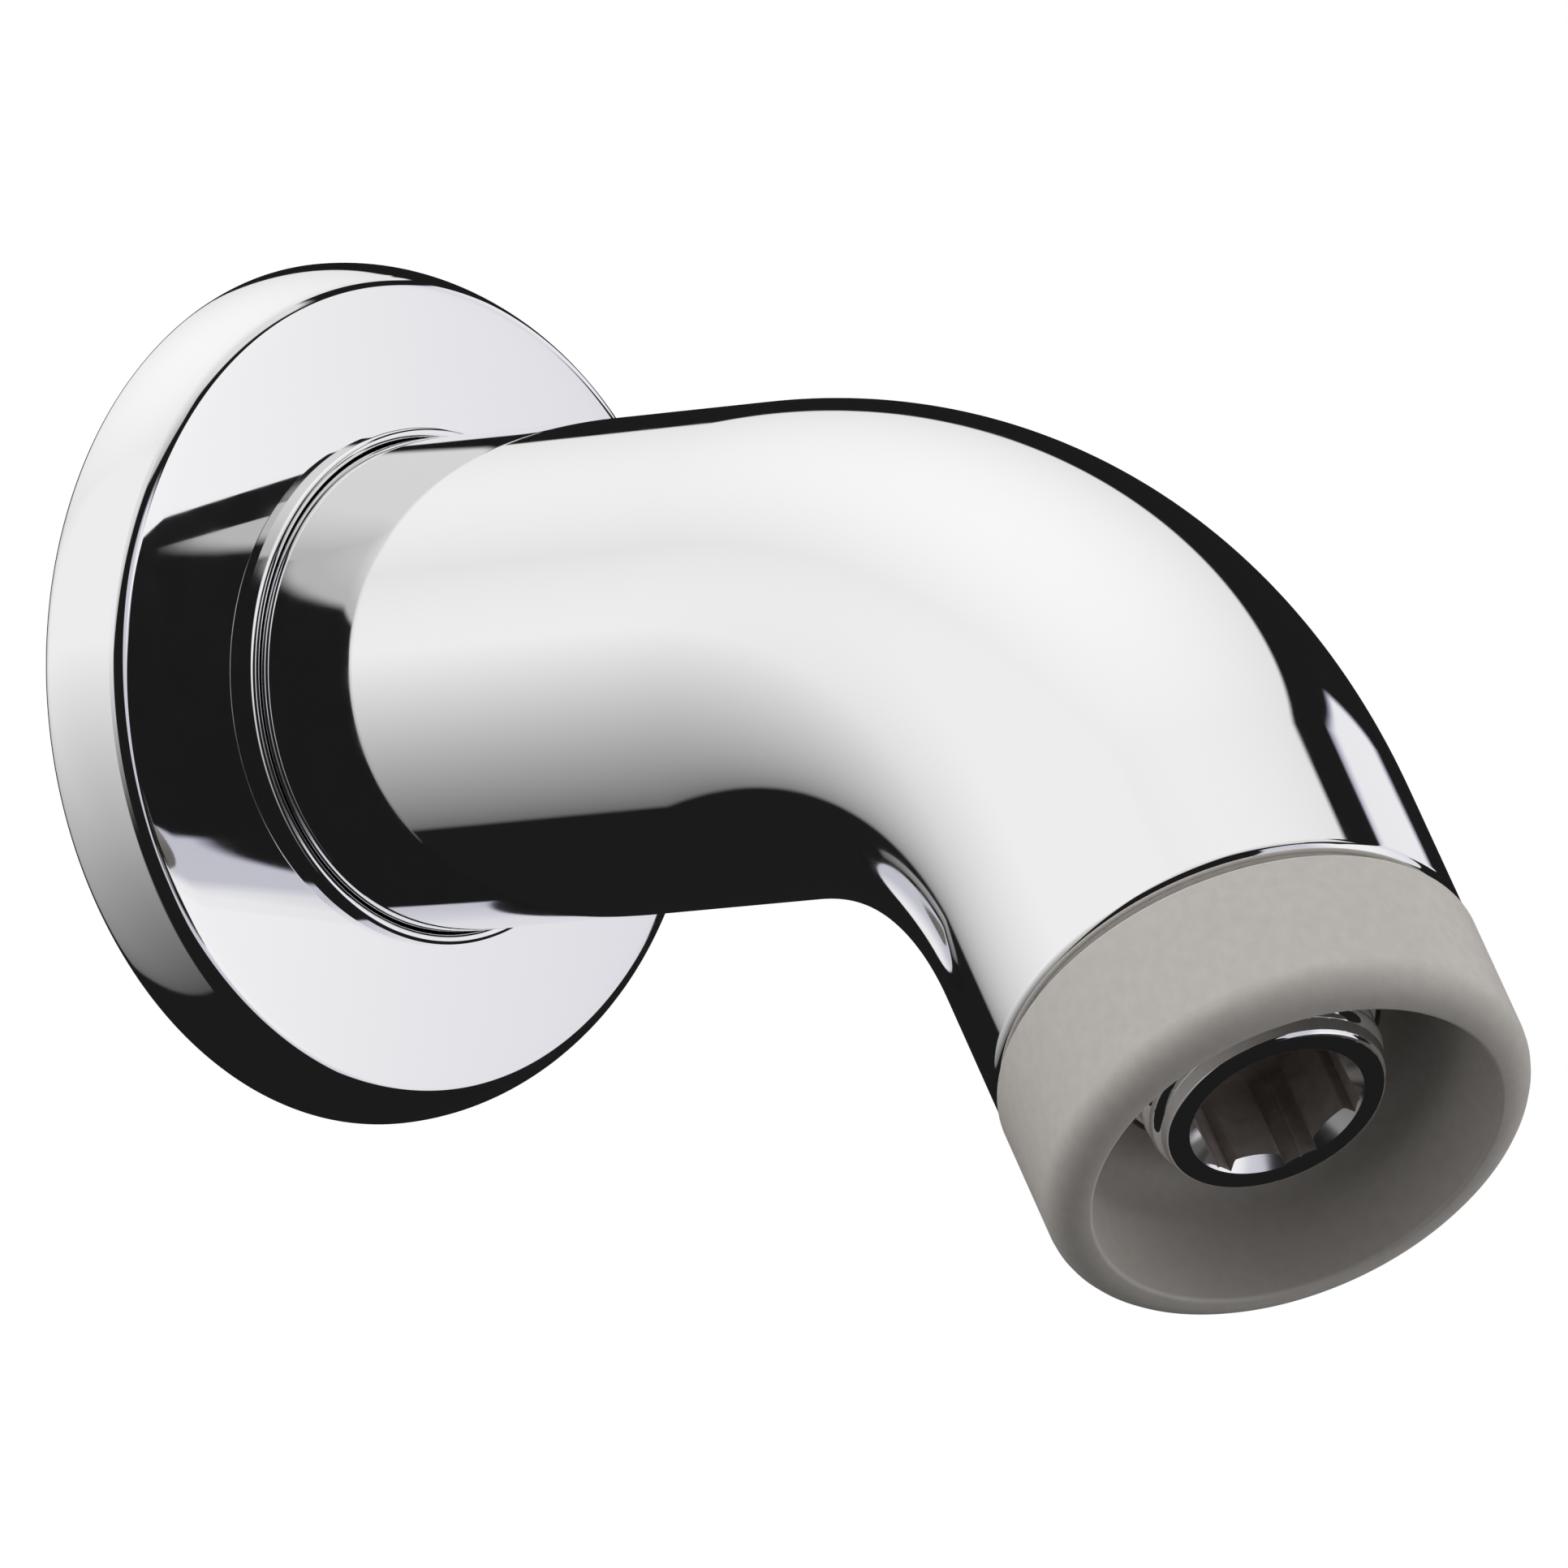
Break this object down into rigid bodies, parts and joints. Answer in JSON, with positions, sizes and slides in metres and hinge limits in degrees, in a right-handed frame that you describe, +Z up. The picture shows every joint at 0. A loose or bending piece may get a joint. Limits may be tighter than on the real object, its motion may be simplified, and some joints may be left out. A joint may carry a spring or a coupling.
{
  "type": "shower arm",
  "caption": "Short chromed wall shower arm that bends down, with a round wall flange and a grey cup round its male outlet thread.",
  "frame": {"origin": "on the inlet thread's axis, in the plane of the finished wall that the flange meets", "axes": "+Y into the wall along the inlet thread, +Z up, +X to the right as seen from the room, so the arm leaves the wall along -Y and bends down in the plane x = 0"},
  "size_m": [0.0734, 0.1503, 0.0961],
  "materials": {
    "chrome": "polished",
    "grey_plastic": "satin",
    "black_rubber": "matte"
  },
  "bodies": {
    "root": {"arm_body": "chrome", "wall_flange": "chrome", "outlet_nipple": "chrome", "outlet_collar": "grey_plastic", "flange_ring": "black_rubber", "nipple_ring": "black_rubber"}
  },
  "joints": []
}
